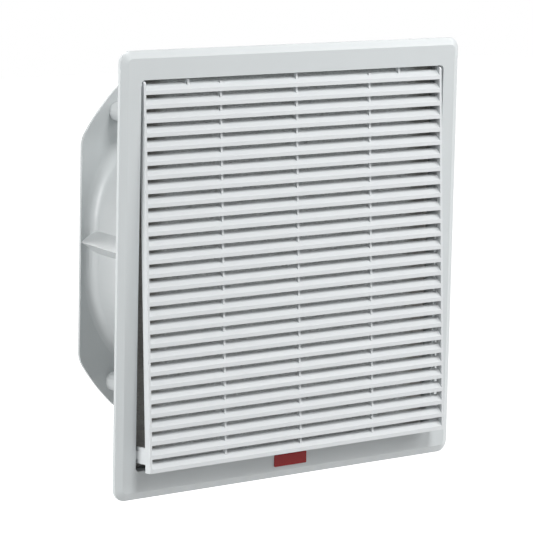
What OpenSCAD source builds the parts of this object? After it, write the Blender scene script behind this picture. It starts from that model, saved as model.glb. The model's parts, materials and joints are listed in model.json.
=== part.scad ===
// Cabinet filter fan: a louvre grille hinged in a square bezel, a filter mat behind it,
// and a conical housing that carries an external-rotor axial fan.
// Millimetres. Seen from the front, X goes right, +Y goes into the cabinet and Z goes up.
// The origin is the middle of the panel cut-out, on the panel's front face.

/* [Panel and bezel] */
// Width and height of the square panel cut-out
cutout_size = 292; // [280:1:310]
// Gap between the collar and the cut-out on each side
cutout_gap = 0.6; // [0.4:0.1:1.2]
// How far the bezel covers the panel round the cut-out
bezel_overlap = 15.5; // [14.5:0.5:22]
// Thickness of the bezel in front of the panel
bezel_t = 5; // [4.5:0.25:7]
// Radius of the bezel's outer corners
bezel_corner_r = 9; // [7:0.5:14]
// Width of the sloping band round the bezel's face
bevel_w = 5.5; // [3:0.5:6.5]
// Depth of the sloping band
bevel_d = 2.5; // [1:0.25:3]
// Width of the bare plate on the lower strip
badge_w = 31; // [20:1:40]
// Height of the bare plate
badge_h = 9; // [6:0.5:10]
// Thickness of the bare plate
badge_t = 0.8; // [0.5:0.1:1.5]

/* [Tray] */
// Depth of the collar behind the panel's front face
tray_depth = 20; // [18:0.5:26]
// Thickness of the collar's side walls
tray_wall = 1.8; // [1.6:0.1:2.4]
// Thickness of the collar's top and bottom walls
tray_end_wall = 4.7; // [4:0.1:6]
// Thickness of the tray's floor, which carries the fan housing
tray_floor_t = 3; // [2.5:0.25:4]
// Step from the collar's inside out to the bezel's opening
opening_step = 1.1; // [0.6:0.1:1.4]
// Thickness of the ledge at that step
ledge_t = 2; // [1.5:0.25:2.5]
// Corner radius of the bezel's opening
opening_corner_r = 3; // [1:0.5:5]

/* [Gasket and clips] */
// Width of the foam gasket
gasket_w = 8; // [5:0.5:9]
// Depth of the gasket's groove in the bezel's back
gasket_t = 2; // [1:0.25:2.5]
// Distance from the cut-out's edge to the gasket
gasket_margin = 4; // [3.5:0.5:5]
// Corner radius of the gasket's outer edge
gasket_corner_r = 6; // [3:0.5:8]
// Width of a panel clip
clip_w = 18; // [12:1:26]
// Sheet thickness of a panel clip
clip_t = 0.6; // [0.4:0.1:0.8]
// How far a clip's wing stands out from the collar
clip_reach = 4.6; // [3:0.2:6]
// Thickest panel that the clips hold
panel_max_t = 3.2; // [2:0.2:5]
// Distance of the clips from the middle of each side
clip_offset = 75; // [50:1:100]
// How far a clip's hook reaches over the tray's floor
clip_hook = 4.9; // [4:0.1:6]

/* [Louvre grille] */
// Number of slats
slat_count = 28; // [20:1:30]
// Height of each slat's upright lip
slat_lip = 2.9; // [2:0.1:3.5]
// Height of the slope behind the lip
slat_rise = 4.6; // [3.5:0.05:5]
// Depth of a slat from its lip to its back edge
slat_depth = 4.4; // [3.5:0.1:5]
// Thickness of a slat
slat_t = 1.4; // [1.2:0.1:1.8]
// Depth of the grille's side borders
border_depth = 5.7; // [5.2:0.1:6.5]
// Width of the side borders
border_w = 2; // [1.6:0.1:3]
// Gap between the grille and the opening at each side
grille_side_gap = 2.1; // [1.8:0.1:3]
// Gap above the closed grille
grille_top_gap = 0.6; // [0.5:0.1:2]
// Gap below the closed grille
grille_bottom_gap = 0.4; // [0.3:0.1:1.5]
// Number of upright ribs behind the slats
rib_count = 3; // [1:1:5]
// Width of these ribs
rib_w = 1.8; // [1.2:0.1:4]
// Depth of the ribs' front edges behind the lips
rib_inset = 2.2; // [1.4:0.1:2.6]
// Distance of the outer lugs over the top slat from the middle
lug_offset = 101; // [80:1:110]
// Angle at which the grille stands ajar
open_angle = 3; // [0:0.5:10]
// Radius of the hinge pegs
peg_r = 1.4; // [1:0.1:1.6]
// How far the pegs reach into the bezel
peg_reach = 3; // [2:0.25:3.5]
// Radial clearance of the pegs in their bores
peg_clearance = 0.06; // [0.02:0.01:0.1]
// Height of a latch tongue
latch_h = 12; // [8:0.5:18]
// Thickness of a latch tongue
latch_t = 1.7; // [1.2:0.1:2.4]
// Height of a latch tongue's middle above the grille's lower edge
latch_rise = 12; // [10:0.5:30]
// How far the latch nib bites into the collar wall
latch_bite = 0.5; // [0.2:0.1:0.7]

/* [Filter] */
// Gap between the closed grille and the filter mat
mat_front_gap = 1.7; // [1:0.1:3]
// Gap between the filter mat and what is round it
mat_gap = 0.3; // [0.2:0.1:1]
// Thickness of the filter grid
grid_t = 2.3; // [1.5:0.1:3]
// Width of the grid's bars
grid_bar = 2.5; // [1.5:0.25:4]
// Number of grid cells along each side
grid_cells = 10; // [9:1:14]

/* [Fan housing] */
// Depth of the fan plate's front face behind the panel
housing_depth = 128; // [118:1:150]
// Half of the cone's outer width where it meets the fan plate
cone_rear_r = 86; // [80:0.5:88]
// Half of the cone's outer width at the housing flange
cone_front_r = 108; // [100:0.5:116]
// How far the cone's upper and lower halves are drawn apart from the middle
cone_draw = 15; // [5:0.5:18]
// Wall thickness of the cone
cone_wall = 2.5; // [2:0.1:3.5]
// Fillet between the cone and the fan plate
cone_fillet_r = 7.8; // [1:0.2:9]
// Gap from the collar's outside to the edge of the housing flange
flange_inset = 7; // [6.5:0.5:12]
// Thickness of the housing flange
flange_t = 3; // [2:0.25:4]
// Width of the fan plate
plate_w = 196.5; // [194:0.5:215]
// Height of the fan plate
plate_h = 252; // [248:1:262]
// Thickness of the fan plate
plate_t = 2; // [1.5:0.25:4]
// Radius of the crowned corner edges of the fan plate
plate_arc_r = 175.5; // [172:0.5:185]
// Sideways place of each corner arc's centre, past the middle
plate_arc_x = 50; // [40:1:55]
// Height of each corner arc's centre, past the middle
plate_arc_z = 10; // [5:1:15]
// Radius between the crowned corners and the straight edges
plate_blend_r = 20; // [5:1:30]
// Height of the rib along each side of the cone
cone_rib_h = 12; // [4:0.2:14]
// Width of these ribs at their root
cone_rib_w = 18.8; // [8:0.2:22]
// Radius of the bosses under the fan plate
boss_r = 7.5; // [6:0.25:9]
// Length of the bosses
boss_l = 20; // [14:1:30]
// Sideways place of the bosses
boss_x = 65.6; // [60:0.2:68]
// Height of the bosses from the middle
boss_z = 103.4; // [100:0.2:106]
// Inset of the housing screws from the flange's edge
housing_screw_inset = 16; // [10:0.5:20]

/* [Wire guard] */
// Radius of the ring wire
ring_wire_r = 1.25; // [0.8:0.05:1.6]
// Radius of the arm wire
arm_wire_r = 2.25; // [1.6:0.05:3]
// Number of rings
ring_count = 5; // [3:1:7]
// Gap from the outer ring to the throat's edge
ring_edge_gap = 3; // [2:0.5:8]
// Radius of the guard's middle plate
guard_plate_r = 36; // [35:0.5:40]
// Thickness of the middle plate and the eyelets
guard_plate_t = 2.5; // [1.5:0.25:3]
// Radius of the eyelets
eyelet_r = 7; // [5.5:0.25:8]

/* [Motor] */
// Radius of the rotor can
can_r = 34; // [32:0.5:36]
// Wall thickness of the rotor can
can_wall = 1.5; // [1:0.1:2]
// Length of the rotor can
can_l = 32.5; // [30:0.5:36]
// Air gap between the stator and the rotor
air_gap = 0.4; // [0.35:0.05:0.8]
// Thickness of the rotor's cage ring
cage_t = 2.1; // [1.5:0.1:3]
// Length of the stator core
core_l = 16; // [10:0.5:18]
// Number of stator teeth
tooth_count = 12; // [6:1:18]
// Thickness of the motor flange
motor_flange_t = 5; // [4:0.5:7]
// Gap between the rotor can and the motor flange
can_flange_gap = 1; // [0.5:0.1:2]
// Radius of the shaft
shaft_r = 4; // [3:0.25:5]
// Radial clearance of the shaft in its bearings
shaft_clearance = 0.04; // [0.02:0.01:0.1]
// Outer radius of the bearings
bearing_r = 8; // [7.5:0.25:9]
// Width of the bearings
bearing_w = 6; // [4:0.5:7]
// Wall thickness of the bearing tube
tube_wall = 2; // [1.5:0.25:2.5]
// Place of the motor screws from the axis
motor_screw_pcr = 24; // [20:0.5:28]

/* [Impeller] */
// Number of blades
blade_count = 7; // [5:1:9]
// Gap between the blade tips and the throat
tip_gap = 3; // [2:0.5:8]
// Wall thickness of the hub ring
hub_wall = 3; // [2.5:0.25:5]
// Chord of a blade at the hub
root_chord = 40; // [28:1:42]
// Chord of a blade at the tip
tip_chord = 62; // [45:1:68]
// Blade angle at the hub, from the plane of rotation
root_angle = 40; // [30:1:42]
// Blade angle at the tip
tip_angle = 22; // [16:1:28]
// Blade thickness
blade_t = 2.4; // [1.6:0.1:3]
// Camber as a share of the chord
blade_camber = 0.06; // [0:0.01:0.08]
// How far the tip sweeps ahead of the root, in degrees
blade_sweep = 24; // [0:1:35]

/* [Terminal box] */
// Width of the terminal box
box_w = 64; // [58:1:76]
// Height of the terminal box
box_h = 24; // [22:0.5:26]
// Depth of the terminal box behind the fan plate
box_d = 20; // [18:0.5:30]
// Wall thickness of the box
box_wall = 2; // [1.5:0.1:2.5]
// Wall thickness at the gland
box_gland_wall = 4; // [3:0.5:6]
// Gap from the box to the lower edge of the fan plate
box_edge_gap = 3; // [1:0.5:5]
// Thickness of the lid
lid_t = 2.5; // [2:0.25:4]
// Radius of the gland's thread
gland_r = 6; // [5:0.5:7]
// Width across the flats of the gland
gland_flats = 15; // [14:0.5:17]
// Radius of the gland's cable hole
gland_bore_r = 3.25; // [2:0.25:3.75]
// Length of the gland outside the box
gland_l = 18; // [14:0.5:26]

/* [Hidden] */
$fn = 96;

moulding_grey = "#d3d8d8";
steel = "#b9bec2";
zinc = "#c9ccce";
cut = 1;
fit = 0.05;
side_gap = 0.2;
lateral = [-1, 1];
quarters = [0, 90, 180, 270];

// Bezel, collar and opening
cutout_half = cutout_size / 2;
bezel_half = cutout_half + bezel_overlap;
bezel_side_t = bezel_t - bevel_d;
collar_half = cutout_half - cutout_gap;
tray_half_w = collar_half - tray_wall;
tray_half_h = collar_half - tray_end_wall;
opening_half_w = tray_half_w + opening_step;
floor_y = tray_depth - tray_floor_t;
gasket_in = cutout_half + gasket_margin;
gasket_out = gasket_in + gasket_w;
badge_z = -(tray_half_h + bezel_half - bevel_w) / 2;
badge_corner_r = 0.8;
bezel_edge = [
    [0, 0], [bezel_corner_r, 0], [bezel_corner_r, -bezel_side_t],
    [bezel_corner_r - bevel_w, -bezel_t], [0, -bezel_t]
];

// Panel clips
clip_front_y = 2.5;
clip_tail = 3.2;
clip_wing_root = tray_depth - clip_tail;
clip_nose = 1.8;
clip_bend_y = panel_max_t + clip_nose;
clip_lip = 1.2;
clip_leg = 1.5;
clip_root_l = 2.2;

// Louvre grille, in its closed place
grille_front = -bezel_t;
grille_back = grille_front + border_depth;
grille_half_w = opening_half_w - grille_side_gap;
grille_top = tray_half_h - grille_top_gap;
grille_bottom = -tray_half_h + grille_bottom_gap;
slat_pitch = (grille_top - grille_bottom) / slat_count;
slat_slope = slat_rise / slat_depth;
slat_drop = slat_t * sqrt(1 + slat_slope * slat_slope);
slat_profile = [
    [0, 0], [0, slat_lip], [slat_depth, slat_lip + slat_rise],
    [slat_depth, slat_lip + slat_rise - slat_drop],
    [slat_t, slat_lip + slat_t * slat_slope - slat_drop], [slat_t, 0]
];
border_end_r = border_depth / 2;
pivot_y = grille_front + border_end_r;
pivot_z = grille_top - border_end_r;
rib_pitch = 2 * grille_half_w / (rib_count + 1);
lug_w = 1.8;
peg_end = opening_half_w + peg_reach;
peg_bore_end_gap = 0.5;

// Filter and latch
grid_front = floor_y - grid_t;
grid_half_w = tray_half_w - mat_gap;
grid_half_h = tray_half_h - mat_gap;
latch_tip_gap = 1.3;
latch_tip = grid_front - latch_tip_gap;
latch_z = grille_bottom + latch_rise;
latch_corner = 1.5;
latch_nib_l = 5;
latch_nib_h = 6;
latch_nib_x = tray_half_w + latch_bite;
latch_groove_gap = 0.3;
latch_groove_room = 1.5;
mat_half_w = grille_half_w - latch_t - mat_gap;
mat_front = grille_back + mat_front_gap;
mat_back = grid_front - mat_gap;

// Fan housing
flange_half = collar_half - flange_inset;
flange_corner_r = 10;
flange_back = tray_depth + flange_t;
cone_slope = (cone_front_r - cone_rear_r) / (housing_depth - tray_depth);
cone_angle = atan(cone_slope);
cone_stretch = sqrt(1 + cone_slope * cone_slope);
cone_wall_r = cone_wall * cone_stretch;
mouth_r = cone_front_r - cone_wall_r;
cone_rear_in = cone_rear_r - cone_wall_r;
throat_lip = 0.5;
throat_r = cone_rear_in - throat_lip;
plate_back = housing_depth + plate_t;
fillet_room = (plate_w / 2 - cone_rear_r) / (cone_slope + cone_stretch) - fit;
fillet_r = min(cone_fillet_r, fillet_room);
fillet_c = cone_rear_r + fillet_r * (cone_slope + cone_stretch);
fillet_steps = 6;
rib_root = 1.2;
rib_crest = 6;
cone_rib_profile = [[-rib_root, -cone_rib_w / 2], [cone_rib_h, 0], [-rib_root, cone_rib_w / 2]];
housing_screw_c = flange_half - housing_screw_inset;
housing_screw_r = 1.75;
boss_angle = atan2(boss_z, boss_x);
boss_pcr = norm([boss_x, boss_z]);
guard_screw_r = 2.3;
guard_screw_l = 14;

// Wire guard
guard_back = plate_back + guard_plate_t;
arm_y = plate_back + arm_wire_r + side_gap;
ring_seat_gap = 0.02;
ring_y = arm_y + arm_wire_r + ring_wire_r + ring_seat_gap;
ring_out_r = throat_r - ring_edge_gap;
ring_pitch = (ring_out_r - guard_plate_r) / ring_count;

// Motor, from the guard forward
motor_flange_front = plate_back - motor_flange_t;
can_back = motor_flange_front - can_flange_gap;
can_front = can_back - can_l;
tube_r = bearing_r + tube_wall;
tube_front_gap = 3;
tube_front = can_front + can_wall + tube_front_gap;
core_r = can_r - can_wall - cage_t - air_gap;
core_mid = (tube_front + motor_flange_front) / 2;
core_front = core_mid - core_l / 2;
core_back = core_mid + core_l / 2;
winding_l = 3.5;
winding_inset = 3;
core_rim_t = 2.6;
core_ring_t = 2.5;
winding_in = tube_r + core_ring_t + cut;
winding_out = core_r - winding_inset;
bearing_inset = 0.5;
bearing_back_gap = 2;
front_bearing_y = tube_front + bearing_inset;
rear_bearing_y = motor_flange_front - bearing_w - bearing_back_gap;
bearing_shoulder = 1.2;
tube_shoulder_r = bearing_r - bearing_shoulder;
shaft_ring_t = 1;
shaft_ring_w = 2.2;
shaft_groove_d = 0.6;
shaft_ring_r = shaft_r + shaft_ring_w;
shaft_groove_r = shaft_r - shaft_groove_d;
shaft_ring_y = rear_bearing_y + bearing_w + side_gap;
shaft_end = 1.2;
shaft_back = shaft_ring_y + shaft_ring_t + shaft_end;
can_hub_wall = 4;
can_hub_r = shaft_r + can_hub_wall;
can_hub_l = 2;
motor_screw_r = 1.9;
tooth_share = 0.5;
tooth_w = tooth_share * 2 * PI * winding_in / tooth_count;
cage_overhang = 1;

// Impeller
hub_r = can_r + hub_wall;
hub_inset = 1;
hub_back = can_back - hub_inset / 2;
hub_front = can_front + hub_inset;
blade_mid_y = (hub_front + hub_back) / 2;
blade_root_r = can_r + hub_wall / 2;
blade_tip_r = throat_r - tip_gap;
span_steps = 6;
chord_steps = 6;
edge_share = 0.3;
ring_points = 2 * (chord_steps + 1);

// Terminal box
box_z = -plate_h / 2 + box_edge_gap + box_h / 2;
box_back = plate_back + box_d;
box_floor = plate_back + box_wall;
lid_back = box_back + lid_t;
post_r = 2.8;
post_inset = 4.5;
post_x = box_w / 2 - post_inset;
post_z = box_h / 2 - post_inset;
lid_screw_r = 1.1;
lid_screw_l = 10;
box_screw_x = 20;
box_screw_r = 1.5;
block_w = 26;
block_h = 12;
block_d = 11;
pole_count = 3;
clamp_r = 1.8;
clamp_top = 0.9;
clamp_slot = 0.8;
clamp_slot_w = 0.2;
gland_x = box_w / 2;
gland_y = plate_back + box_d / 2;
gland_hex_r = gland_flats / sqrt(3);
gland_hex_l = 5;
gland_sleeve_t = 2;
gland_sleeve_r = gland_bore_r + gland_sleeve_t;
gland_nut_l = gland_l - gland_hex_l - cut;

function lerp(a, b, s) = a + (b - a) * s;
function polar(r, angle) = [r * cos(angle), r * sin(angle)];

// Block between two opposite corners
module block(lo, hi) {
    translate(lo) cube(hi - lo);
}

// Flat outline in X and Z, made solid from y0 to y1
module plate_y(y0, y1) {
    translate([0, y1, 0]) rotate([90, 0, 0]) linear_extrude(y1 - y0) children();
}

// Outline in Y and Z, made solid along X to both sides of the middle
module bar_x(half) {
    translate([-half, 0, 0]) rotate([90, 0, 90]) linear_extrude(2 * half) children();
}

// Outline in radius and Y, turned about the Y axis
module turned() {
    rotate([-90, 0, 0]) rotate_extrude() children();
}

module rod_y(r, y0, y1) {
    translate([0, y0, 0]) rotate([-90, 0, 0]) cylinder(h = y1 - y0, r = r);
}

module rod_x(r, x0, x1) {
    translate([x0, 0, 0]) rotate([0, 90, 0]) cylinder(h = x1 - x0, r = r);
}

module rounded_rect(w, h, r) {
    square([w - 2 * r, h], center = true);
    square([w, h - 2 * r], center = true);
    for (x = lateral, z = lateral)
        translate([x * (w / 2 - r), z * (h / 2 - r)]) circle(r);
}

// Shape made for the right side, and its mirror image on the left
module both_sides() {
    children();
    mirror([1, 0, 0]) children();
}

// Pan-head screw along Y, its seat at Y = 0 and its shank towards -Y
module pan_screw(shank_r, shank_l) {
    head_r = 1.9 * shank_r;
    head_h = 1.2 * shank_r;
    crown = 0.55;
    slot_w = 0.22 * head_r;
    slot_l = 0.55 * head_r;
    difference() {
        turned() polygon([
            [0, -shank_l], [shank_r, -shank_l], [shank_r, 0], [head_r, 0],
            [head_r, crown * head_h], [crown * head_r, head_h], [0, head_h]
        ]);
        for (a = [0, 90]) rotate([0, a, 0])
            block([-slot_l, crown * head_h, -slot_w], [slot_l, head_h + cut, slot_w]);
    }
}

module at_clips() {
    for (a = quarters, s = lateral) rotate([0, a, 0]) translate([0, 0, s * clip_offset]) children();
}

module at_corners(x, z) {
    for (sx = lateral, sz = lateral) translate([sx * x, 0, sz * z]) children();
}

module at_motor_screws() {
    for (a = quarters) rotate([0, a, 0]) translate([motor_screw_pcr, 0, 0]) children();
}

// Closed grille swung open about its pegs
module swung() {
    translate([0, pivot_y, pivot_z]) rotate([-open_angle, 0, 0])
        translate([0, -pivot_y, -pivot_z]) children();
}

// Bezel slab with its sloping band carried round the corners
module bezel_slab() {
    h = bezel_half - bezel_corner_r;
    block([-h, -bezel_t, -h], [h, 0, h]);
    for (a = quarters) rotate([0, a, 0]) {
        linear_extrude(2 * h, center = true) polygon([for (p = bezel_edge) [h + p[0], p[1]]]);
        translate([h, 0, h]) turned() polygon(bezel_edge);
    }
}

module front_frame() {
    color(moulding_grey) difference() {
        union() {
            bezel_slab();
            block([-collar_half, -ledge_t, -collar_half], [collar_half, tray_depth, collar_half]);
        }
        plate_y(-bezel_t - cut, -ledge_t)
            rounded_rect(2 * opening_half_w, 2 * tray_half_h, opening_corner_r);
        block([-tray_half_w, -ledge_t - cut, -tray_half_h + opening_corner_r],
            [tray_half_w, floor_y, tray_half_h - opening_corner_r]);
        block([-tray_half_w, -ledge_t, -tray_half_h], [tray_half_w, floor_y, tray_half_h]);
        drawn_out() translate([0, floor_y - cut]) square([mouth_r, tray_floor_t + 2 * cut]);
        gasket_ring(cut);
        both_sides() {
            translate([0, pivot_y, pivot_z])
                rod_x(peg_r + peg_clearance, tray_half_w - cut, peg_end + peg_bore_end_gap);
            latch_groove();
        }
        at_clips() clip_pocket();
        at_corners(housing_screw_c, housing_screw_c)
            rod_y(housing_screw_r + fit, floor_y - cut, tray_depth + cut);
    }
}

module gasket_ring(proud) {
    difference() {
        plate_y(-gasket_t, proud) rounded_rect(2 * gasket_out, 2 * gasket_out, gasket_corner_r);
        plate_y(-gasket_t - cut, proud + cut) square(2 * gasket_in, center = true);
    }
}

module latch_groove() {
    room = latch_nib_h / 2 + latch_groove_room;
    block([tray_half_w - cut, -ledge_t - cut, latch_z - room],
        [latch_nib_x + latch_groove_gap, latch_tip + cut, latch_z + room]);
}

module clip_pocket() {
    half = clip_w / 2 + side_gap;
    block([collar_half - clip_t, clip_front_y - side_gap, -half],
        [collar_half + cut, tray_depth + cut, half]);
    block([collar_half - clip_hook - side_gap, tray_depth - clip_leg - side_gap, -half],
        [collar_half - clip_hook + clip_t + side_gap, tray_depth + cut, half]);
}

module panel_gasket() {
    color("#3a3d40") gasket_ring(0);
}

module panel_clips() {
    profile = [
        [-clip_t, clip_front_y], [0, clip_front_y], [0, clip_wing_root],
        [clip_reach - clip_t, clip_bend_y], [clip_reach - clip_t - clip_lip, panel_max_t],
        [clip_reach - clip_lip, panel_max_t], [clip_reach, clip_bend_y],
        [0, clip_wing_root + clip_root_l], [0, tray_depth + clip_t],
        [-clip_hook, tray_depth + clip_t], [-clip_hook, tray_depth - clip_leg],
        [-clip_hook + clip_t, tray_depth - clip_leg], [-clip_hook + clip_t, tray_depth],
        [-clip_t, tray_depth]
    ];
    color(steel) at_clips() translate([collar_half, 0, 0])
        linear_extrude(clip_w, center = true) polygon(profile);
}

module badge_plate() {
    color("#83282d") translate([0, 0, badge_z])
        plate_y(-bezel_t - badge_t, -bezel_t) rounded_rect(badge_w, badge_h, badge_corner_r);
}

module louvre_grille() {
    inner_half = grille_half_w - border_w / 2;
    color(moulding_grey) swung() {
        for (i = [0 : slat_count - 1])
            translate([0, grille_front, grille_bottom + i * slat_pitch])
                bar_x(inner_half) polygon(slat_profile);
        for (j = [1 : rib_count])
            translate([j * rib_pitch - grille_half_w, 0, 0])
                block([-rib_w / 2, grille_front + rib_inset, grille_bottom],
                    [rib_w / 2, grille_front + slat_depth, pivot_z]);
        for (x = [-lug_offset, 0, lug_offset])
            block([x - lug_w / 2, grille_front + rib_inset, pivot_z - slat_rise],
                [x + lug_w / 2, grille_front + slat_depth, grille_top - side_gap]);
        block([-inner_half, grille_front, grille_bottom], [inner_half, grille_back, grille_bottom + slat_t]);
        both_sides() grille_side();
    }
}

// Side border with its hinge peg and latch tongue
module grille_side() {
    block([grille_half_w - border_w, grille_front, grille_bottom], [grille_half_w, grille_back, pivot_z]);
    translate([0, pivot_y, pivot_z]) {
        rod_x(border_end_r, grille_half_w - border_w, grille_half_w);
        rod_x(peg_r, grille_half_w - border_w / 2, peg_end);
    }
    translate([grille_half_w - latch_t, 0, latch_z]) rotate([90, 0, 90]) linear_extrude(latch_t) polygon([
        [grille_back - slat_t, -latch_h / 2], [latch_tip - latch_corner, -latch_h / 2],
        [latch_tip, latch_corner - latch_h / 2], [latch_tip, latch_h / 2 - latch_corner],
        [latch_tip - latch_corner, latch_h / 2], [grille_back - slat_t, latch_h / 2]
    ]);
    translate([0, 0, latch_z]) linear_extrude(latch_nib_h, center = true) polygon([
        [grille_half_w - latch_t / 2, latch_tip - latch_nib_l],
        [grille_half_w, latch_tip - latch_nib_l],
        [latch_nib_x, latch_tip - latch_nib_l / 2],
        [grille_half_w, latch_tip - side_gap],
        [grille_half_w - latch_t / 2, latch_tip - side_gap]
    ]);
}

module filter_mat() {
    color("#e6e7e2") block([-mat_half_w, mat_front, -grid_half_h], [mat_half_w, mat_back, grid_half_h]);
}

module filter_grid() {
    cell_x = (2 * grid_half_w - grid_bar) / grid_cells;
    cell_z = (2 * grid_half_h - grid_bar) / grid_cells;
    color(moulding_grey) plate_y(grid_front, floor_y) difference() {
        square([2 * grid_half_w, 2 * grid_half_h], center = true);
        for (i = [0 : grid_cells - 1], j = [0 : grid_cells - 1])
            translate([grid_bar - grid_half_w + i * cell_x, grid_bar - grid_half_h + j * cell_z])
                square([cell_x - grid_bar, cell_z - grid_bar]);
    }
}

// Half section in radius and Y, turned about the Y axis into two halves drawn apart up and down
module drawn_out() {
    for (a = [0, 180]) rotate([0, a, 0]) translate([0, 0, -cone_draw])
        rotate([-90, 0, 0]) rotate_extrude(angle = 180) children();
    both_sides() linear_extrude(2 * cone_draw, center = true) children();
}

// Half section of the cone, with its fillet to the fan plate
function cone_section() = concat(
    [for (r = [mouth_r, cone_front_r]) [r - cone_slope * flange_t / 2, tray_depth + flange_t / 2]],
    [for (i = [0 : fillet_steps])
        [fillet_c, housing_depth - fillet_r]
            + polar(fillet_r, lerp(180 + cone_angle, 90, i / fillet_steps))],
    [[fillet_c, plate_back], [cone_rear_in, plate_back], [cone_rear_in, housing_depth]]
);

// Tip between a straight edge at u = half and the crown arc round (-arc_u, -arc_v), outside a blend circle
module blend_tip(half, arc_u, arc_v) {
    reach = plate_arc_r - plate_blend_r;
    u = half - plate_blend_r;
    v = sqrt(reach * reach - (u + arc_u) * (u + arc_u)) - arc_v;
    turn = atan2(v + arc_v, u + arc_u);
    outside = plate_blend_r + cut;
    translate([u, v]) difference() {
        polygon([[0, 0], polar(outside, 0), polar(outside / cos(turn / 2), turn / 2), polar(outside, turn)]);
        circle(plate_blend_r);
    }
}

module fan_plate() {
    difference() {
        intersection() {
            block([-plate_w / 2, housing_depth, -plate_h / 2], [plate_w / 2, plate_back, plate_h / 2]);
            intersection_for(sx = lateral, sz = lateral)
                translate([sx * plate_arc_x, 0, sz * plate_arc_z])
                    rod_y(plate_arc_r, housing_depth - cut, plate_back + cut);
        }
        plate_y(housing_depth - cut, plate_back + cut) both_sides() for (a = [0, 180]) rotate(a) {
            blend_tip(plate_w / 2, plate_arc_x, plate_arc_z);
            mirror([1, -1, 0]) blend_tip(plate_h / 2, plate_arc_z, plate_arc_x);
        }
    }
}

// Wedge-shaped rib along the right side of the cone, a little above the middle
module cone_rib() {
    lean = [
        [1, -cone_slope, 0, cone_rear_r + cone_slope * housing_depth],
        [0, 1, 0, 0], [0, 0, 1, rib_crest], [0, 0, 0, 1]
    ];
    multmatrix(lean) plate_y(tray_depth + flange_t / 2, housing_depth + plate_t / 2)
        polygon(cone_rib_profile);
}

module fan_shroud() {
    color(moulding_grey) difference() {
        union() {
            plate_y(tray_depth, flange_back)
                rounded_rect(2 * flange_half, 2 * flange_half, flange_corner_r);
            drawn_out() polygon(cone_section());
            fan_plate();
            both_sides() cone_rib();
            at_corners(boss_x, boss_z) rod_y(boss_r, housing_depth - boss_l, housing_depth + plate_t / 2);
        }
        drawn_out() polygon([
            [0, tray_depth - cut], [mouth_r + cone_slope * cut, tray_depth - cut],
            [cone_rear_in, housing_depth], [0, housing_depth]
        ]);
        rod_y(throat_r, housing_depth - cut, plate_back + cut);
        at_corners(boss_x, boss_z)
            rod_y(guard_screw_r + fit, guard_back - guard_screw_l - cut, plate_back + cut);
        at_corners(housing_screw_c, housing_screw_c)
            rod_y(housing_screw_r + fit, tray_depth - cut, flange_back + cut);
        for (s = lateral) translate([s * box_screw_x, 0, box_z])
            rod_y(box_screw_r + fit, housing_depth - cut, plate_back + cut);
    }
}

module shroud_screws() {
    color(zinc) at_corners(housing_screw_c, housing_screw_c) translate([0, flange_back, 0])
        pan_screw(housing_screw_r, flange_back - floor_y - side_gap);
}

module guard_grille() {
    color(steel) difference() {
        union() {
            rod_y(guard_plate_r, plate_back, guard_back);
            for (sx = lateral, sz = lateral) {
                rotate([0, -sz * (sx > 0 ? boss_angle : 180 - boss_angle), 0])
                    translate([0, arm_y, 0])
                        rod_x(arm_wire_r, guard_plate_r - 3 * arm_wire_r, boss_pcr - 0.75 * eyelet_r);
                translate([sx * boss_x, 0, sz * boss_z]) rod_y(eyelet_r, plate_back, guard_back);
            }
        }
        at_corners(boss_x, boss_z) rod_y(guard_screw_r + fit, plate_back - cut, arm_y + eyelet_r);
        at_motor_screws() rod_y(motor_screw_r + fit, plate_back - cut, guard_back + cut);
    }
}

module guard_rings() {
    color(steel) for (i = [1 : ring_count]) turned()
        translate([guard_plate_r + i * ring_pitch, ring_y]) circle(ring_wire_r, $fn = 24);
}

module guard_screws() {
    color(zinc) at_corners(boss_x, boss_z) translate([0, guard_back, 0])
        pan_screw(guard_screw_r, guard_screw_l);
}

module motor_flange() {
    color("#aeb3b6") difference() {
        union() {
            rod_y(can_r - can_wall / 2, motor_flange_front, plate_back);
            rod_y(tube_r, tube_front, motor_flange_front + cut);
        }
        rod_y(tube_shoulder_r, tube_front - cut, plate_back + cut);
        rod_y(bearing_r, tube_front - cut, front_bearing_y + bearing_w);
        rod_y(bearing_r, rear_bearing_y, plate_back + cut);
        at_motor_screws() rod_y(motor_screw_r + fit, motor_flange_front + cut, plate_back + cut);
    }
}

module motor_screws() {
    color(zinc) at_motor_screws() translate([0, guard_back, 0])
        pan_screw(motor_screw_r, guard_plate_t + motor_flange_t - 2 * cut);
}

// Stack of toothed sheets round the bearing tube
module stator_core() {
    color("#6d7275") plate_y(core_front, core_back) difference() {
        circle(core_r);
        circle(tube_r);
        difference() {
            circle(core_r - core_rim_t);
            circle(tube_r + core_ring_t);
            for (i = [0 : tooth_count - 1]) rotate(i * 360 / tooth_count)
                translate([0, -tooth_w / 2]) square([core_r, tooth_w]);
        }
    }
}

module stator_windings() {
    color("#b8733a") for (y = [core_front - winding_l, core_back]) difference() {
        rod_y(winding_out, y, y + winding_l);
        rod_y(winding_in, y - cut, y + winding_l + cut);
    }
}

// Ball bearing with shields set back from the races
module bearing(y) {
    bore_r = shaft_r + shaft_clearance;
    race = 0.28 * (bearing_r - bore_r);
    shield = 0.4;
    translate([0, y, 0]) turned() polygon([
        [bore_r, 0], [bore_r + race, 0], [bore_r + race, shield], [bearing_r - race, shield],
        [bearing_r - race, 0], [bearing_r, 0], [bearing_r, bearing_w], [bearing_r - race, bearing_w],
        [bearing_r - race, bearing_w - shield], [bore_r + race, bearing_w - shield],
        [bore_r + race, bearing_w], [bore_r, bearing_w]
    ]);
}

module front_bearing() {
    color("silver") bearing(front_bearing_y);
}

module rear_bearing() {
    color("silver") bearing(rear_bearing_y);
}

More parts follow.
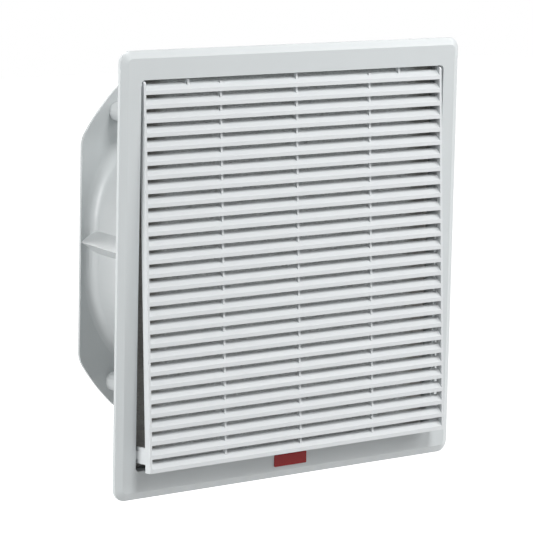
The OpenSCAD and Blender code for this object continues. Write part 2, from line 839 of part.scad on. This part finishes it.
module rotor_shaft() {
    color("silver") turned() polygon([
        [0, can_front], [shaft_r, can_front], [shaft_r, shaft_ring_y],
        [shaft_groove_r, shaft_ring_y], [shaft_groove_r, shaft_ring_y + shaft_ring_t],
        [shaft_r, shaft_ring_y + shaft_ring_t], [shaft_r, shaft_back], [0, shaft_back]
    ]);
}

module shaft_ring() {
    color("#54585b") difference() {
        rod_y(shaft_ring_r, shaft_ring_y, shaft_ring_y + shaft_ring_t);
        rod_y(shaft_groove_r, shaft_ring_y - cut, shaft_ring_y + shaft_ring_t + cut);
        block([0, shaft_ring_y - cut, -shaft_groove_r / 2],
            [shaft_ring_r + cut, shaft_ring_y + shaft_ring_t + cut, shaft_groove_r / 2]);
    }
}

module rotor_can() {
    color("#2b2d2f") turned() polygon([
        [shaft_r, can_front], [can_r - can_wall, can_front], [can_r, can_front + can_wall],
        [can_r, can_back], [can_r - can_wall, can_back], [can_r - can_wall, can_front + can_wall],
        [can_hub_r, can_front + can_wall], [can_hub_r, can_front + can_wall + can_hub_l],
        [shaft_r, can_front + can_wall + can_hub_l]
    ]);
}

module rotor_cage() {
    color("#9a9fa3") difference() {
        rod_y(can_r - can_wall, core_front - cage_overhang, core_back + cage_overhang);
        rod_y(can_r - can_wall - cage_t, core_front - cage_overhang - cut, core_back + cage_overhang + cut);
    }
}

// Point of a blade: span s and chord place t from 0 to 1, on the upper or lower face
function blade_point(s, t, face) =
    let (
        r = lerp(blade_root_r, blade_tip_r, s),
        pitch = lerp(root_angle, tip_angle, s),
        chord = lerp(root_chord, tip_chord, s),
        bulge = 4 * t * (1 - t),
        along = (t - 0.5) * chord,
        off = blade_camber * chord * bulge + face * blade_t / 2 * max(edge_share, sqrt(bulge)),
        turn = blade_sweep * s * s + (along * cos(pitch) - off * sin(pitch)) / r * 180 / PI,
        place = polar(r, turn)
    )
    [place[0], blade_mid_y + along * sin(pitch) + off * cos(pitch), place[1]];

function blade_ring(s) = concat(
    [for (i = [0 : chord_steps]) blade_point(s, i / chord_steps, 1)],
    [for (i = [chord_steps : -1 : 0]) blade_point(s, i / chord_steps, -1)]
);

// Twisted blade: rings of points from root to tip, skinned with triangles
module blade() {
    n = ring_points;
    points = [for (k = [0 : span_steps]) each blade_ring(k / span_steps)];
    sides = [for (k = [0 : span_steps - 1], j = [0 : n - 1])
        let (a = k * n + j, b = k * n + (j + 1) % n)
            each [[a, b + n, b], [a, a + n, b + n]]];
    root = [for (j = [0 : chord_steps - 1]) each [[j, n - 2 - j, n - 1 - j], [j, j + 1, n - 2 - j]]];
    last = span_steps * n;
    tip = [for (f = root) [for (i = [2 : -1 : 0]) last + f[i]]];
    polyhedron(points, concat(sides, root, tip));
}

module impeller() {
    color("#2f3234") {
        turned() polygon([
            [can_r, hub_front], [hub_r - hub_inset, hub_front], [hub_r, hub_front + hub_inset],
            [hub_r, hub_back], [can_r, hub_back]
        ]);
        for (i = [0 : blade_count - 1]) rotate([0, i * 360 / blade_count, 0]) blade();
    }
}

module terminal_box() {
    inner_w = box_w / 2 - box_wall;
    color("#3b3f42") translate([0, 0, box_z]) difference() {
        union() {
            difference() {
                plate_y(plate_back, box_back) rounded_rect(box_w, box_h, box_wall);
                block([-inner_w, box_floor, box_wall - box_h / 2],
                    [box_w / 2 - box_gland_wall, box_back + cut, box_h / 2 - box_wall]);
            }
            for (s = lateral) translate([s * post_x, 0, s * post_z]) rod_y(post_r, box_floor - cut, box_back);
        }
        for (s = lateral) {
            translate([s * post_x, 0, s * post_z])
                rod_y(lid_screw_r + fit, box_back - lid_screw_l, box_back + cut);
            translate([s * box_screw_x, 0, 0]) rod_y(box_screw_r + fit, plate_back - cut, box_floor + cut);
        }
        translate([0, gland_y, 0]) rod_x(gland_r, box_w / 2 - box_gland_wall - cut, box_w / 2 + cut);
    }
}

module box_screws() {
    color(zinc) for (s = lateral) translate([s * box_screw_x, box_floor, box_z])
        pan_screw(box_screw_r, box_wall + plate_t - side_gap);
}

module terminal_block() {
    pole_w = block_w / pole_count;
    wire_r = 1.6;
    color("#e3e0d4") translate([0, 0, box_z]) difference() {
        block([-block_w / 2, box_floor, -block_h / 2], [block_w / 2, box_floor + block_d, block_h / 2]);
        for (i = [0 : pole_count - 1]) translate([(i + 0.5) * pole_w - block_w / 2, 0, 0]) {
            for (s = lateral) translate([0, 0, s * block_h / 4])
                rod_y(clamp_r + fit, box_floor + block_d / 2, box_floor + block_d + cut);
            translate([0, box_floor + block_d / 4, 0])
                translate([0, 0, -block_h / 2 - cut]) cylinder(h = block_h + 2 * cut, r = wire_r);
        }
    }
}

module clamp_screws() {
    pole_w = block_w / pole_count;
    color(zinc) for (i = [0 : pole_count - 1], s = lateral)
        translate([(i + 0.5) * pole_w - block_w / 2, 0, box_z + s * block_h / 4]) difference() {
            rod_y(clamp_r, box_floor + block_d / 2, box_floor + clamp_top * block_d);
            block([-clamp_r - cut, box_floor + clamp_slot * block_d, -clamp_slot_w * clamp_r],
                [clamp_r + cut, box_floor + block_d, clamp_slot_w * clamp_r]);
        }
}

module terminal_lid() {
    lip = 1.5;
    inner_w = box_w / 2 - box_gland_wall - side_gap;
    inner_h = box_h / 2 - box_wall - side_gap;
    color("#3b3f42") translate([0, 0, box_z]) difference() {
        union() {
            plate_y(box_back, lid_back) rounded_rect(box_w, box_h, box_wall);
            difference() {
                block([-inner_w, box_back - lip, -inner_h], [inner_w, box_back + cut, inner_h]);
                block([lip - inner_w, box_back - lip - cut, lip - inner_h],
                    [inner_w - lip, box_back, inner_h - lip]);
                for (s = lateral) translate([s * post_x, 0, s * post_z])
                    rod_y(post_r + side_gap, box_back - lip - cut, box_back);
            }
        }
        for (s = lateral) translate([s * post_x, 0, s * post_z])
            rod_y(lid_screw_r + fit, box_back - lip - cut, lid_back + cut);
    }
}

module lid_screws() {
    color(zinc) for (s = lateral) translate([s * post_x, lid_back, box_z + s * post_z])
        pan_screw(lid_screw_r, lid_screw_l + lid_t - cut);
}

// Gland body: thread in the box wall, hexagon against it and a sleeve for the nut
module cable_gland() {
    color("#8d9296") translate([gland_x, gland_y, box_z]) difference() {
        union() {
            rod_x(gland_r - fit, -box_gland_wall, cut);
            rotate([0, 90, 0]) cylinder(h = gland_hex_l, r = gland_hex_r, $fn = 6);
            rod_x(gland_sleeve_r, gland_hex_l - cut, gland_l);
        }
        rod_x(gland_bore_r, -box_gland_wall - cut, gland_l + cut);
    }
}

module gland_nut() {
    dome = 0.78;
    color("#8d9296") translate([gland_x + gland_hex_l, gland_y, box_z]) difference() {
        union() {
            rotate([0, 90, 0]) cylinder(h = gland_nut_l / 2, r = gland_hex_r, $fn = 6);
            translate([gland_nut_l / 2, 0, 0]) rotate([0, 90, 0])
                cylinder(h = gland_nut_l / 2, r1 = gland_flats / 2, r2 = dome * gland_flats / 2);
        }
        rod_x(gland_sleeve_r + fit, -cut, gland_nut_l + cut);
    }
}

front_frame();
panel_gasket();
panel_clips();
badge_plate();
louvre_grille();
filter_mat();
filter_grid();
fan_shroud();
shroud_screws();
guard_grille();
guard_rings();
guard_screws();
motor_flange();
motor_screws();
stator_core();
stator_windings();
front_bearing();
rear_bearing();
rotor_shaft();
shaft_ring();
rotor_can();
rotor_cage();
impeller();
terminal_box();
box_screws();
terminal_block();
clamp_screws();
terminal_lid();
lid_screws();
cable_gland();
gland_nut();
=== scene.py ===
"""Looks of a cabinet filter fan: finishes, filter mat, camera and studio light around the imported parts."""
import json
import math
import random

import bpy
from mathutils import Matrix, Vector, noise


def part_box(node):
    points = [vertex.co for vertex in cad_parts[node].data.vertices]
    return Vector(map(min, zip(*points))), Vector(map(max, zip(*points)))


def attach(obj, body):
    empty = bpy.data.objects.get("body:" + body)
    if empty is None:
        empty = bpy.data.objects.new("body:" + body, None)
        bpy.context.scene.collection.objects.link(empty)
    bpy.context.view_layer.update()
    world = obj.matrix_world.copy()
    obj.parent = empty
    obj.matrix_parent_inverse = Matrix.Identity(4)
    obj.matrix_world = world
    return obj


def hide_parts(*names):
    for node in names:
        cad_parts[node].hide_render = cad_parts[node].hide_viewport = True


MM = 0.001

# Camera, fitted to the photograph's bezel and housing plate, in degrees and metres
CAMERA_AZIMUTH = -39.745
CAMERA_ELEVATION = 8.554
CAMERA_ROLL = 1.221
CAMERA_DISTANCE = 2.2637
CAMERA_SIDE_SHIFT = -0.01751
CAMERA_RISE = -0.00372
CAMERA_LENS_MM = 206.3
CAMERA_SENSOR_MM = 36.0
CAMERA_CLIP_END = 50.0

# Studio
FLOOR_Z = -0.62
FLOOR_SIZE = 14.0
FLOOR_GLOW = 1.0
FLOOR_GREY = 0.6
FLOOR_ROUGHNESS = 0.9
AMBIENT = 0.09
LAMP_DISTANCE = 2.3
# Azimuth and elevation in degrees, side length in metres and level of each lamp
LAMPS = {
    "top_lamp": (9.0, 51.0, 0.8, 0.63),
    "key_lamp": (58.0, 24.0, 1.1, 0.48),
    "fill_lamp": (-95.0, 14.0, 0.9, 0.68),
    "left_lamp": (-140.0, 2.0, 0.6, 0.06),
    "back_lamp": (178.0, 32.0, 1.2, 0.42),
}

# Rounding of the moulded parts' edges
EDGE_ROUNDING = {
    "front_frame": 0.5 * MM,
    "fan_shroud": 0.4 * MM,
    "louvre_grille": 0.3 * MM,
    "badge_plate": 0.2 * MM,
    "terminal_box": 0.3 * MM,
    "terminal_lid": 0.4 * MM,
}
EDGE_ANGLE = math.radians(25.0)
EDGE_SEGMENTS = 2
FLAT_ANGLE = math.radians(0.5)
WELD_DISTANCE = 0.001 * MM

# Filter mat, and the distances from its middle between which its upright rims get a band of painted shade
MAT_CELL = 2.5 * MM
MAT_EDGE_SOFTNESS = 2.5 * MM
MAT_LUMP_HEIGHT = 0.5 * MM
MAT_LUMP_SCALE = 90.0
MAT_LUMP_FALLOFF = 1.0
MAT_LUMP_STEP = 2.0
MAT_LUMP_OCTAVES = 3
MAT_PAINTED_SHADE_BAND = (114.0 * MM, 127.0 * MM)

# Loose fibres on the mat, with the lift and the ridge in radii
FIBRE_COUNT = 1500
FIBRE_RADIUS = 0.07 * MM
FIBRE_STEPS = 5
FIBRE_STEP_LENGTH = (3.0 * MM, 7.0 * MM)
FIBRE_BEND = 0.5
FIBRE_END_LIFT = 1.5
FIBRE_ARCH_LIFT = 2.0
FIBRE_RIDGE = 1.5
FIBRE_SIDES = 3
FIBRE_MARGIN = 2 * MAT_EDGE_SOFTNESS
FIBRE_SEED = 7

# Linear colours
LIGHT_GREY = (0.635, 0.668, 0.676)
# Housing grey at 0.8, painted shade for the fan shroud behind the bezel
SHADED_HOUSING_GREY = (0.51, 0.535, 0.54)
WHITISH_GREY = (0.72, 0.745, 0.757)
DARK_RED = (0.320, 0.010, 0.011)
FLEECE_WHITE = (0.84, 0.86, 0.86)
# Painted shade: a darker fleece tone laid on the mat's upright rims
FLEECE_PAINTED_SHADE = (0.36, 0.35, 0.33)
FOAM_BLACK = (0.035, 0.037, 0.040)
SPRING_STEEL = (0.42, 0.43, 0.44)
BRIGHT_WIRE = (0.54, 0.55, 0.56)
ZINC = (0.52, 0.53, 0.55)
CAST_ALUMINIUM = (0.46, 0.47, 0.48)
CORE_STEEL = (0.22, 0.23, 0.24)
COPPER = (0.62, 0.27, 0.12)
GROUND_STEEL = (0.72, 0.72, 0.73)
ROTOR_BLACK = (0.022, 0.023, 0.025)
BLADE_BLACK = (0.030, 0.033, 0.036)
BOX_GREY = (0.045, 0.050, 0.055)
TERMINAL_CREAM = (0.74, 0.71, 0.62)
GLAND_GREY = (0.27, 0.29, 0.31)

# Lowest and highest roughness of finishes that come in several kinds
MOULDED_ROUGHNESS = (0.32, 0.42)
BLADE_ROUGHNESS = (0.32, 0.46)
TERMINAL_ROUGHNESS = (0.26, 0.36)
SPRING_ROUGHNESS = (0.30, 0.46)
WIRE_ROUGHNESS = (0.20, 0.34)
ZINC_ROUGHNESS = (0.28, 0.42)
GROUND_ROUGHNESS = (0.10, 0.20)

# Strength of the moulded grain, and the scale of drawn lines along X, Y and Z
MOULDED_GRAIN = 0.18
SMOOTH_GRAIN = 0.10
DRAWN_STRETCH = (60.0, 60.0, 1400.0)


def linear(*rgb):
    return (*rgb, 1.0)


class Finish:
    """Node material under construction, in the frame's own metres."""

    def __init__(self, name):
        self.material = bpy.data.materials.new(name)
        self.material.use_nodes = True
        self.nodes = self.material.node_tree.nodes
        self.links = self.material.node_tree.links
        self.shader = self.nodes["Principled BSDF"]
        self.place = self.nodes.new("ShaderNodeTexCoord").outputs["Object"]

    def set(self, **values):
        for socket, value in values.items():
            self.shader.inputs[socket.replace("_", " ")].default_value = value

    def stretched(self, x, y, z):
        mapping = self.nodes.new("ShaderNodeMapping")
        mapping.inputs["Scale"].default_value = (x, y, z)
        self.links.new(self.place, mapping.inputs["Vector"])
        return mapping.outputs["Vector"]

    def noise(self, scale, detail=3.0, place=None):
        texture = self.nodes.new("ShaderNodeTexNoise")
        texture.inputs["Scale"].default_value = scale
        texture.inputs["Detail"].default_value = detail
        self.links.new(place or self.place, texture.inputs["Vector"])
        return texture.outputs["Fac"]

    def cells(self, scale):
        texture = self.nodes.new("ShaderNodeTexVoronoi")
        texture.inputs["Scale"].default_value = scale
        self.links.new(self.place, texture.inputs["Vector"])
        return texture.outputs["Distance"]

    def bands(self, scale, direction):
        texture = self.nodes.new("ShaderNodeTexWave")
        texture.bands_direction = direction
        texture.inputs["Scale"].default_value = scale
        self.links.new(self.place, texture.inputs["Vector"])
        return texture.outputs["Fac"]

    def spread(self, factor, low, high):
        """Factor from 0 to 1 mapped to a range of values."""
        remap = self.nodes.new("ShaderNodeMapRange")
        remap.inputs["To Min"].default_value = low
        remap.inputs["To Max"].default_value = high
        self.links.new(factor, remap.inputs["Value"])
        return remap.outputs["Result"]

    def sideways(self, start, stop):
        """Output that rises from 0 to 1 between two distances from the part's upright middle plane."""
        axes = self.nodes.new("ShaderNodeSeparateXYZ")
        self.links.new(self.place, axes.inputs["Vector"])
        distance = self.nodes.new("ShaderNodeMath")
        distance.operation = "ABSOLUTE"
        self.links.new(axes.outputs["X"], distance.inputs[0])
        rise = self.nodes.new("ShaderNodeMapRange")
        rise.inputs["From Min"].default_value = start
        rise.inputs["From Max"].default_value = stop
        self.links.new(distance.outputs["Value"], rise.inputs["Value"])
        return rise.outputs["Result"]

    def blend(self, factor, first, second):
        """Output between two colours, each given as numbers or as another output."""
        mix = self.nodes.new("ShaderNodeMix")
        mix.data_type = "RGBA"
        ends = {"A": first, "B": second}
        for socket in mix.inputs:
            if socket.name not in ends or socket.type != "RGBA":
                continue
            if isinstance(ends[socket.name], tuple):
                socket.default_value = linear(*ends[socket.name])
            else:
                self.links.new(ends[socket.name], socket)
        self.links.new(factor, mix.inputs["Factor"])
        return next(s for s in mix.outputs if s.type == "RGBA")

    def shades(self, factor, rgb, dark, light):
        """Output between a darker and a lighter share of one colour."""
        return self.blend(factor, shaded(rgb, dark), shaded(rgb, light))

    def colour(self, output):
        self.links.new(output, self.shader.inputs["Base Color"])

    def roughness(self, factor, low, high):
        self.links.new(self.spread(factor, low, high), self.shader.inputs["Roughness"])

    def bump(self, height, strength, depth):
        bump = self.nodes.new("ShaderNodeBump")
        bump.inputs["Strength"].default_value = strength
        bump.inputs["Distance"].default_value = depth
        self.links.new(height, bump.inputs["Height"])
        self.links.new(bump.outputs["Normal"], self.shader.inputs["Normal"])


def shaded(rgb, share):
    return tuple(min(1.0, c * share) for c in rgb)


def moulded_plastic(name, rgb, rough=MOULDED_ROUGHNESS, grain=MOULDED_GRAIN):
    """Injection-moulded plastic: fine eroded grain and a faint flow shade."""
    finish = Finish(name)
    finish.colour(finish.shades(finish.noise(scale=22.0), rgb, dark=0.975, light=1.02))
    finish.roughness(finish.noise(scale=160.0), *rough)
    finish.bump(finish.noise(scale=2600.0, detail=2.0), strength=grain, depth=0.05 * MM)
    finish.set(IOR=1.5)
    return finish.material


def foam(name, rgb):
    finish = Finish(name)
    pores = finish.cells(scale=900.0)
    finish.colour(finish.shades(pores, rgb, dark=0.55, light=1.5))
    finish.bump(pores, strength=0.7, depth=0.4 * MM)
    finish.set(Roughness=0.95)
    return finish.material


def rolled_metal(name, rgb, rough):
    """Drawn or rolled metal with fine lines along one way."""
    finish = Finish(name)
    lines = finish.noise(scale=1.0, detail=4.0, place=finish.stretched(*DRAWN_STRETCH))
    finish.colour(finish.shades(finish.noise(scale=45.0), rgb, dark=0.9, light=1.08))
    finish.roughness(lines, *rough)
    finish.bump(lines, strength=0.08, depth=0.02 * MM)
    finish.set(Metallic=1.0)
    return finish.material


def cast_metal(name, rgb):
    finish = Finish(name)
    finish.colour(finish.shades(finish.noise(scale=70.0), rgb, dark=0.85, light=1.1))
    finish.roughness(finish.noise(scale=400.0), low=0.42, high=0.62)
    finish.bump(finish.noise(scale=900.0), strength=0.25, depth=0.15 * MM)
    finish.set(Metallic=1.0)
    return finish.material


def laminated_steel(name, rgb):
    finish = Finish(name)
    sheets = finish.bands(scale=320.0, direction="Y")
    finish.colour(finish.shades(sheets, rgb, dark=0.7, light=1.25))
    finish.bump(sheets, strength=0.5, depth=0.1 * MM)
    finish.set(Metallic=0.9, Roughness=0.5)
    return finish.material


def wound_copper(name, rgb):
    finish = Finish(name)
    turns = finish.bands(scale=420.0, direction="X")
    finish.colour(finish.shades(turns, rgb, dark=0.6, light=1.2))
    finish.bump(turns, strength=0.8, depth=0.2 * MM)
    finish.set(Metallic=0.85, Roughness=0.32, Coat_Weight=0.4)
    return finish.material


def sprayed_paint(name, rgb):
    finish = Finish(name)
    finish.colour(finish.shades(finish.noise(scale=60.0), rgb, dark=0.85, light=1.2))
    finish.roughness(finish.noise(scale=300.0), low=0.35, high=0.5)
    finish.bump(finish.noise(scale=700.0), strength=0.12, depth=0.1 * MM)
    return finish.material


def smooth_plate(name, rgb):
    finish = Finish(name)
    finish.colour(finish.shades(finish.noise(scale=130.0), rgb, dark=0.93, light=1.07))
    finish.roughness(finish.noise(scale=300.0), low=0.28, high=0.40)
    finish.bump(finish.noise(scale=1500.0), strength=0.05, depth=0.03 * MM)
    finish.set(Specular_IOR_Level=0.25)
    return finish.material


def bonded_fibre(name, rgb, painted_shade_rgb):
    """Filter fleece: tangled fibres, with painted shade in the hollows and a band of painted shade along the
    upright rims.
    """
    finish = Finish(name)
    tangle = finish.noise(scale=1.0, detail=8.0, place=finish.stretched(520.0, 520.0, 900.0))
    # Painted shade: the fleece is darker where the tangle's bump is low, in the hollows
    unshaded_fleece = finish.shades(tangle, rgb, dark=0.55, light=1.12)
    rim_shade = finish.shades(tangle, painted_shade_rgb, dark=0.55, light=1.12)
    # Painted shade: the fleece turns to the darker tone in a band along the upright rims
    finish.colour(finish.blend(finish.sideways(*MAT_PAINTED_SHADE_BAND), unshaded_fleece, rim_shade))
    finish.bump(tangle, strength=0.9, depth=0.6 * MM)
    finish.set(Roughness=0.95, Sheen_Weight=0.35)
    return finish.material


def make_finishes():
    """Finishes by material slot, and by node where a node gets the housing grey darkened as painted shade.
    """
    return {
        "housing_plastic": moulded_plastic("light_grey_moulding", LIGHT_GREY),
        # Painted shade: the shroud gets the housing grey darkened to 0.8
        "fan_shroud": moulded_plastic("shaded_grey_moulding", SHADED_HOUSING_GREY),
        "grille_plastic": moulded_plastic("whitish_moulding", WHITISH_GREY, grain=SMOOTH_GRAIN),
        "red_plate": smooth_plate("dark_red_plate", DARK_RED),
        "gasket_foam": foam("closed_cell_foam", FOAM_BLACK),
        "spring_steel": rolled_metal("spring_steel", SPRING_STEEL, SPRING_ROUGHNESS),
        "filter_fibre": bonded_fibre("filter_fleece", FLEECE_WHITE, FLEECE_PAINTED_SHADE),
        "guard_wire": rolled_metal("bright_wire", BRIGHT_WIRE, WIRE_ROUGHNESS),
        "zinc_screws": rolled_metal("zinc_plate", ZINC, ZINC_ROUGHNESS),
        "cast_aluminium": cast_metal("cast_aluminium", CAST_ALUMINIUM),
        "core_steel": laminated_steel("core_sheets", CORE_STEEL),
        "copper_wire": wound_copper("copper_turns", COPPER),
        "bearing_steel": rolled_metal("ground_steel", GROUND_STEEL, GROUND_ROUGHNESS),
        "rotor_paint": sprayed_paint("rotor_black", ROTOR_BLACK),
        "blade_plastic": moulded_plastic("blade_black", BLADE_BLACK, BLADE_ROUGHNESS),
        "box_plastic": moulded_plastic("box_dark_grey", BOX_GREY),
        "terminal_plastic": moulded_plastic("terminal_cream", TERMINAL_CREAM, TERMINAL_ROUGHNESS),
        "gland_plastic": moulded_plastic("gland_grey", GLAND_GREY),
    }


def dress_nodes(frame, finishes):
    """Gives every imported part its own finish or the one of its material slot."""
    for row in frame["record"]["subparts"]:
        mesh = frame["nodes"][row["node"]].data
        mesh.materials.clear()
        mesh.materials.append(finishes.get(row["node"], finishes[row["material_slot"]]))


def round_edges(piece, width):
    """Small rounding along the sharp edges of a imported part, as modifiers that leave its mesh as it is."""
    weld = piece.modifiers.new("weld", "WELD")
    weld.merge_threshold = WELD_DISTANCE
    flat = piece.modifiers.new("flat", "DECIMATE")
    flat.decimate_type = "DISSOLVE"
    flat.angle_limit = FLAT_ANGLE
    rounding = piece.modifiers.new("rounding", "BEVEL")
    rounding.width = width
    rounding.segments = EDGE_SEGMENTS
    rounding.limit_method = "ANGLE"
    rounding.angle_limit = EDGE_ANGLE
    rounding.harden_normals = True


def mesh_piece(name, points, faces, material):
    mesh = bpy.data.meshes.new(name)
    mesh.from_pydata(points, [], faces)
    mesh.validate()
    mesh.materials.append(material)
    mesh.shade_smooth()
    piece = bpy.data.objects.new(name, mesh)
    bpy.context.scene.collection.objects.link(piece)
    return piece


def mat_surface(x, z, half_x, half_z, side):
    """Lump height of the fleece and its rounding towards the edges, both inwards from the face."""
    inset = min(half_x - abs(x), half_z - abs(z))
    drop = MAT_EDGE_SOFTNESS * max(0.0, 1.0 - inset / MAT_EDGE_SOFTNESS) ** 2
    place = Vector((x, side, z)) * MAT_LUMP_SCALE
    lump = 0.5 + 0.5 * noise.fractal(place, MAT_LUMP_FALLOFF, MAT_LUMP_STEP, MAT_LUMP_OCTAVES)
    return drop + MAT_LUMP_HEIGHT * min(1.0, max(0.0, lump))


def make_filter_mat(material):
    """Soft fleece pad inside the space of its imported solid, as one closed skin."""
    low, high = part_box("filter_mat")
    middle = (low + high) / 2
    half = (high - low) / 2
    columns = round(2 * half.x / MAT_CELL)
    rows = round(2 * half.z / MAT_CELL)
    points = []
    for side in (-1, 1):
        for j in range(rows + 1):
            for i in range(columns + 1):
                x = half.x * (2 * i / columns - 1)
                z = half.z * (2 * j / rows - 1)
                y = side * (half.y - mat_surface(x, z, half.x, half.z, side))
                points.append(middle + Vector((x, y, z)))
    layer = (rows + 1) * (columns + 1)

    def at(side, i, j):
        return side * layer + j * (columns + 1) + i

    faces = []
    for j in range(rows):
        for i in range(columns):
            front = (at(0, i, j), at(0, i + 1, j), at(0, i + 1, j + 1), at(0, i, j + 1))
            faces.append(front)
            faces.append(tuple(layer + k for k in reversed(front)))
    rim = [(i, 0) for i in range(columns)]
    rim += [(columns, j) for j in range(rows)]
    rim += [(i, rows) for i in range(columns, 0, -1)]
    rim += [(0, j) for j in range(rows, 0, -1)]
    for (i0, j0), (i1, j1) in zip(rim, rim[1:] + rim[:1]):
        faces.append((at(0, i1, j1), at(0, i0, j0), at(1, i0, j0), at(1, i1, j1)))
    pad = mesh_piece("filter_mat_pad", points, faces, material)
    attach(pad, "housing")
    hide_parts("filter_mat")
    return pad


def make_fibres(material):
    """Loose fibres that lie on the front of the mat."""
    chance = random.Random(FIBRE_SEED)
    low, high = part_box("filter_mat")
    points = []
    faces = []
    for _ in range(FIBRE_COUNT):
        x = chance.uniform(low.x + FIBRE_MARGIN, high.x - FIBRE_MARGIN)
        z = chance.uniform(low.z + FIBRE_MARGIN, high.z - FIBRE_MARGIN)
        heading = chance.uniform(0.0, 2 * math.pi)
        step = chance.uniform(*FIBRE_STEP_LENGTH)
        start = len(points)
        for k in range(FIBRE_STEPS):
            arch = math.sin(math.pi * k / (FIBRE_STEPS - 1))
            lift = FIBRE_RADIUS * (FIBRE_END_LIFT + FIBRE_ARCH_LIFT * arch)
            centre = Vector((x, low.y + MAT_LUMP_HEIGHT / 2 - lift, z))
            across = Vector((-math.sin(heading), 0.0, math.cos(heading)))
            for corner in (across, -across, Vector((0.0, -FIBRE_RIDGE, 0.0))):
                points.append(centre + FIBRE_RADIUS * corner)
            heading += chance.uniform(-FIBRE_BEND, FIBRE_BEND)
            x += step * math.cos(heading)
            z += step * math.sin(heading)
            x = min(max(x, low.x + FIBRE_MARGIN), high.x - FIBRE_MARGIN)
            z = min(max(z, low.z + FIBRE_MARGIN), high.z - FIBRE_MARGIN)
        for k in range(FIBRE_STEPS - 1):
            for c in range(FIBRE_SIDES):
                a = start + FIBRE_SIDES * k + c
                b = start + FIBRE_SIDES * k + (c + 1) % FIBRE_SIDES
                faces.append((a, b, b + FIBRE_SIDES, a + FIBRE_SIDES))
        last = start + FIBRE_SIDES * (FIBRE_STEPS - 1)
        faces.append((start + 2, start + 1, start))
        faces.append((last, last + 1, last + 2))
    fibres = mesh_piece("filter_mat_fibres", points, faces, material)
    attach(fibres, "housing")
    return fibres


def direction_to(azimuth, elevation):
    """Unit vector towards a place round the part. Azimuth 0 is in front of it and 90 is to its right."""
    azimuth = math.radians(azimuth)
    elevation = math.radians(elevation)
    level = math.cos(elevation)
    return Vector((math.sin(azimuth) * level, -math.cos(azimuth) * level, math.sin(elevation)))


def make_camera():
    roll = math.radians(CAMERA_ROLL)
    back = direction_to(CAMERA_AZIMUTH, CAMERA_ELEVATION)
    level = Vector((0.0, 0.0, 1.0)).cross(back).normalized()
    upright = back.cross(level)
    right = level * math.cos(roll) + upright * math.sin(roll)
    up = upright * math.cos(roll) - level * math.sin(roll)
    place = right * CAMERA_SIDE_SHIFT + up * CAMERA_RISE + back * CAMERA_DISTANCE
    camera = bpy.data.cameras.new("camera")
    camera.lens = CAMERA_LENS_MM
    camera.sensor_width = CAMERA_SENSOR_MM
    camera.clip_end = CAMERA_CLIP_END
    holder = bpy.data.objects.new("camera", camera)
    holder.matrix_world = Matrix.Translation(place) @ Matrix((right, up, back)).transposed().to_4x4()
    bpy.context.scene.collection.objects.link(holder)
    bpy.context.scene.camera = holder


def make_lamp(name, azimuth, elevation, size, level):
    """Square soft lamp aimed at the part. A level of 1 lights a white face turned to it to full white."""
    towards = direction_to(azimuth, elevation)
    lamp = bpy.data.lights.new(name, "AREA")
    lamp.shape = "SQUARE"
    lamp.size = size
    lamp.energy = level * (math.pi * LAMP_DISTANCE) ** 2
    holder = bpy.data.objects.new(name, lamp)
    holder.location = towards * LAMP_DISTANCE
    holder.rotation_mode = "QUATERNION"
    holder.rotation_quaternion = (-towards).to_track_quat("-Z", "Y")
    bpy.context.scene.collection.objects.link(holder)


def seen_directly(nodes, links):
    """Output that is 1 for camera, mirror and glass rays and 0 for rays that light the part."""
    path = nodes.new("ShaderNodeLightPath")
    total = path.outputs["Is Camera Ray"]
    for ray in ("Is Glossy Ray", "Is Transmission Ray"):
        widest = nodes.new("ShaderNodeMath")
        widest.operation = "MAXIMUM"
        links.new(total, widest.inputs[0])
        links.new(path.outputs[ray], widest.inputs[1])
        total = widest.outputs["Value"]
    return total


def make_world():
    """White where it is seen, and a plain ambient level where it lights the part."""
    world = bpy.data.worlds.new("studio")
    bpy.context.scene.world = world
    world.use_nodes = True
    nodes = world.node_tree.nodes
    links = world.node_tree.links
    background = nodes["Background"]
    background.inputs["Color"].default_value = linear(1.0, 1.0, 1.0)
    level = nodes.new("ShaderNodeMapRange")
    level.inputs["To Min"].default_value = AMBIENT
    level.inputs["To Max"].default_value = 1.0
    links.new(seen_directly(nodes, links), level.inputs["Value"])
    links.new(level.outputs["Result"], background.inputs["Strength"])


def make_floor():
    """Pale floor below the part, white in view apart from the part's shadow."""
    finish = Finish("pale_floor")
    finish.set(Base_Color=linear(FLOOR_GREY, FLOOR_GREY, FLOOR_GREY), Roughness=FLOOR_ROUGHNESS)
    finish.set(Emission_Color=linear(1.0, 1.0, 1.0))
    glow = finish.spread(seen_directly(finish.nodes, finish.links), 0.0, FLOOR_GLOW)
    finish.links.new(glow, finish.shader.inputs["Emission Strength"])
    half = FLOOR_SIZE / 2
    outline = ((-half, -half), (half, -half), (half, half), (-half, half))
    corners = [(x, y, FLOOR_Z) for x, y in outline]
    mesh_piece("floor", corners, [(0, 1, 2, 3)], finish.material)


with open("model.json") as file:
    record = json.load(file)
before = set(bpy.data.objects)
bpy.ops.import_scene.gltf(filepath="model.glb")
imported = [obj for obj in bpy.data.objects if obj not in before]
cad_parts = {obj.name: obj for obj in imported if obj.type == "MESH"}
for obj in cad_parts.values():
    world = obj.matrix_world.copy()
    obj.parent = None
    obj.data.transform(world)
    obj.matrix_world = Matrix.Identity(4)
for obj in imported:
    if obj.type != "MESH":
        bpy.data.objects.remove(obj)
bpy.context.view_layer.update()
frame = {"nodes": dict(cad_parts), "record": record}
bpy.context.scene.view_settings.view_transform = "Standard"
make_camera()
make_world()
make_floor()
for lamp_name, lamp_values in LAMPS.items():
    make_lamp(lamp_name, *lamp_values)
finishes = make_finishes()
dress_nodes(frame, finishes)
for node_name, edge_width in EDGE_ROUNDING.items():
    round_edges(frame["nodes"][node_name], edge_width)
make_filter_mat(finishes["filter_fibre"])
make_fibres(finishes["filter_fibre"])
